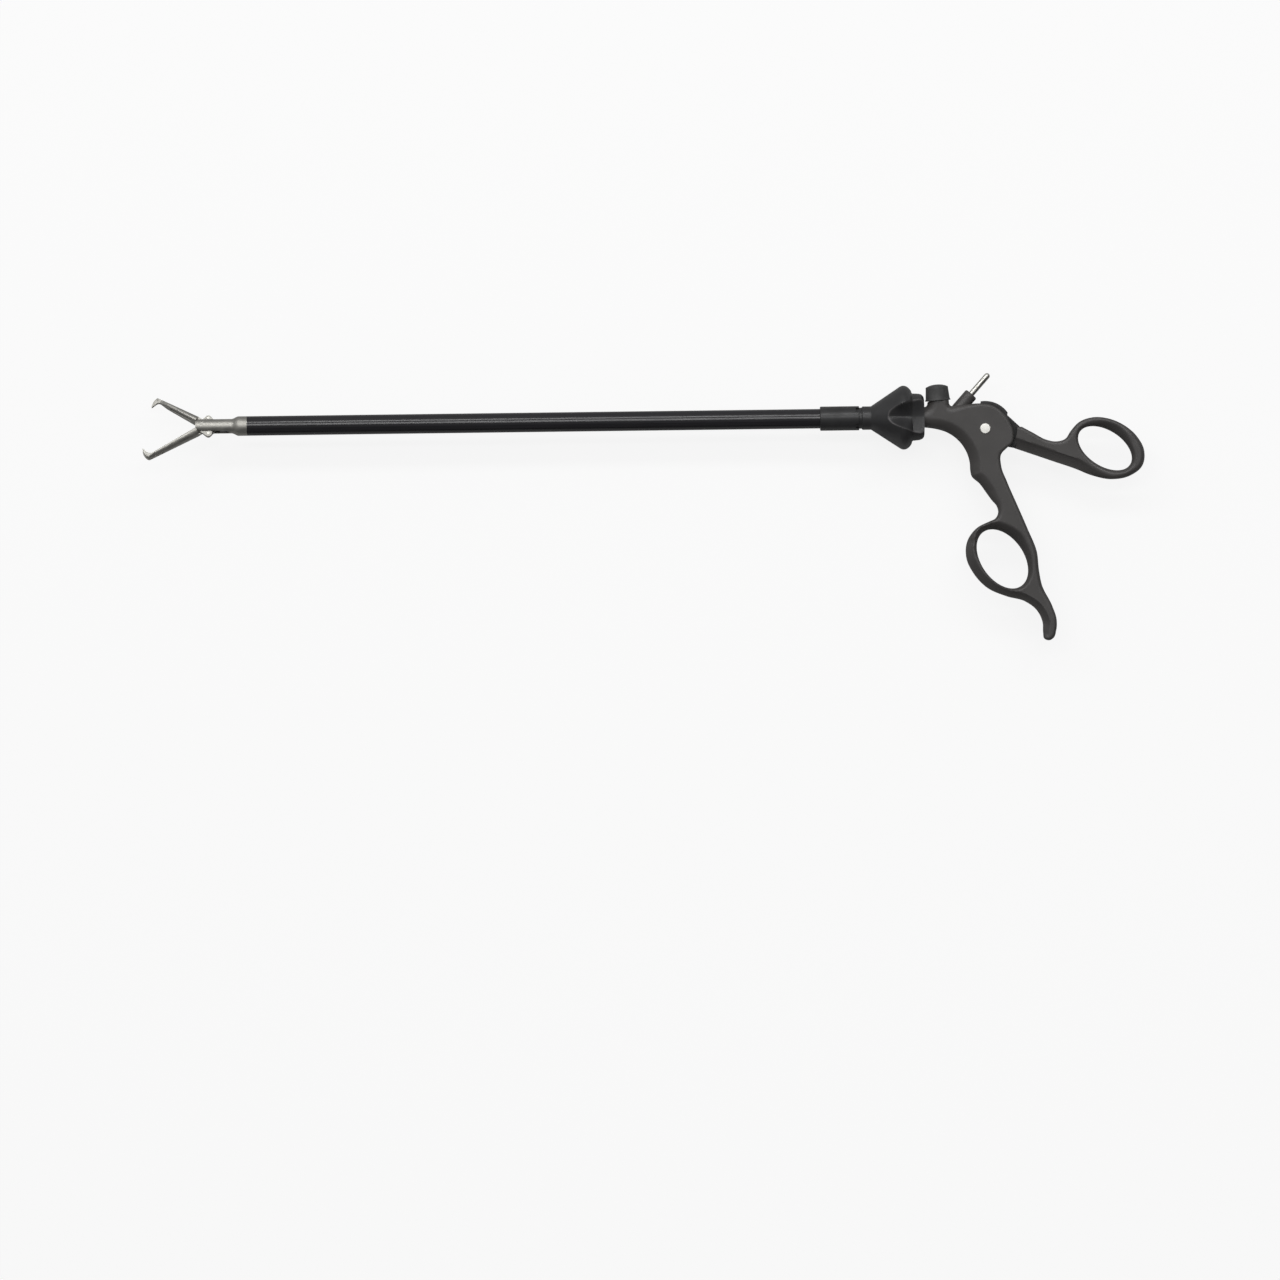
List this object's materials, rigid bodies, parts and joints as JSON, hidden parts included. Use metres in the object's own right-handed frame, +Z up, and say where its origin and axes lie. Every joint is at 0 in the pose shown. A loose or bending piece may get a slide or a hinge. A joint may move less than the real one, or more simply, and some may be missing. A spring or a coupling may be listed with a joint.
{
  "type": "laparoscopic grasper",
  "caption": "Long laparoscopic claw grasper with a turnable insulated shaft, hooked double-action jaws and a ring handle with a thumb lever.",
  "frame": {"origin": "on the shaft axis at the front face of the front sleeve, where the insulated tube ends", "axes": "+X along the shaft towards the handle, +Y across the instrument on the side of the flush port, +Z up out of its flat side as it lies on a table"},
  "size_m": [0.5136, 0.1374, 0.0313],
  "materials": {
    "moulded_black": "fine moulded satin",
    "wheel_black": "moulded satin",
    "cap_black": "moulded, fluted grip",
    "tube_insulation": "glossy shrunk sleeve",
    "spindle_dark": "turned",
    "seal_rubber": "silicone",
    "rod_sleeve_white": "fluoropolymer",
    "satin_steel": "bead blasted satin",
    "pin_steel": "turned and polished",
    "bare_steel": "drawn",
    "contact_bronze": "spring temper"
  },
  "bodies": {
    "handle": {"front_handle": "moulded_black", "pivot_screw": "pin_steel", "pivot_nut": "pin_steel", "electrode_pin": "pin_steel", "contact_strip": "contact_bronze", "rod_seal": "seal_rubber"},
    "port_cap": {"flush_port_cap": "cap_black", "cap_seal": "seal_rubber"},
    "lever": {"thumb_lever": "moulded_black"},
    "shaft": {"rotation_wheel": "wheel_black", "front_sleeve": "wheel_black", "wheel_spindle": "spindle_dark", "spindle_snap_ring": "bare_steel", "spindle_o_ring": "seal_rubber", "outer_tube": "bare_steel", "tube_insulation": "tube_insulation", "tube_hub": "bare_steel", "jaw_housing": "satin_steel", "jaw_pivot_pin": "bare_steel"},
    "upper_jaw_body": {"upper_jaw": "satin_steel", "upper_jaw_pin": "bare_steel"},
    "lower_jaw_body": {"lower_jaw": "satin_steel", "lower_jaw_pin": "bare_steel"},
    "upper_link_body": {"upper_link": "bare_steel"},
    "lower_link_body": {"lower_link": "bare_steel"},
    "rod": {"rod_clevis": "bare_steel", "rod_pin": "bare_steel", "push_rod": "bare_steel", "rod_insulation": "rod_sleeve_white", "ball_tip": "bare_steel"}
  },
  "joints": [
    {"name": "lever_swing", "type": "hinge", "parent": "handle", "child": "lever", "pos_m": [0.08455, -0.0062, 0], "axis": [0, 0, 1], "range_deg": [-29, 0]},
    {"name": "wheel_turn", "type": "hinge", "parent": "handle", "child": "shaft", "pos_m": [0, 0, 0], "axis": [1, 0, 0], "continuous": true},
    {"name": "rod_slide", "type": "slide", "parent": "shaft", "child": "rod", "axis": [1, 0, 0], "range_m": [0, 0.00325]},
    {"name": "upper_jaw_swing", "type": "hinge", "parent": "shaft", "child": "upper_jaw_body", "pos_m": [-0.317, 0, 0], "axis": [0, 0.4384, 0.8988], "range_deg": [0, 30]},
    {"name": "lower_jaw_swing", "type": "hinge", "parent": "shaft", "child": "lower_jaw_body", "pos_m": [-0.317, 0, 0], "axis": [0, 0.4384, 0.8988], "range_deg": [-30, 0]},
    {"name": "upper_link_swing", "type": "hinge", "parent": "upper_jaw_body", "child": "upper_link_body", "pos_m": [-0.31372, -0.00388, 0.00189], "axis": [0, 0.4384, 0.8988], "range_deg": [-56.88, 0]},
    {"name": "lower_link_swing", "type": "hinge", "parent": "lower_jaw_body", "child": "lower_link_body", "pos_m": [-0.31372, 0.00388, -0.00189], "axis": [0, 0.4384, 0.8988], "range_deg": [0, 56.88]},
    {"name": "cap_lift", "type": "slide", "parent": "handle", "child": "port_cap", "axis": [-0.0698, 0.9976, 0], "range_m": [0, 0.012]}
  ],
  "couplings": [
    {"joint": "rod_slide", "follows": "lever_swing", "m_per_rad": -0.0064128},
    {"joint": "upper_jaw_swing", "follows": "lever_swing", "ratio": -1.0345},
    {"joint": "lower_jaw_swing", "follows": "lever_swing", "ratio": 1.0345},
    {"joint": "upper_link_swing", "follows": "lever_swing", "ratio": 1.9614},
    {"joint": "lower_link_swing", "follows": "lever_swing", "ratio": -1.9614}
  ]
}
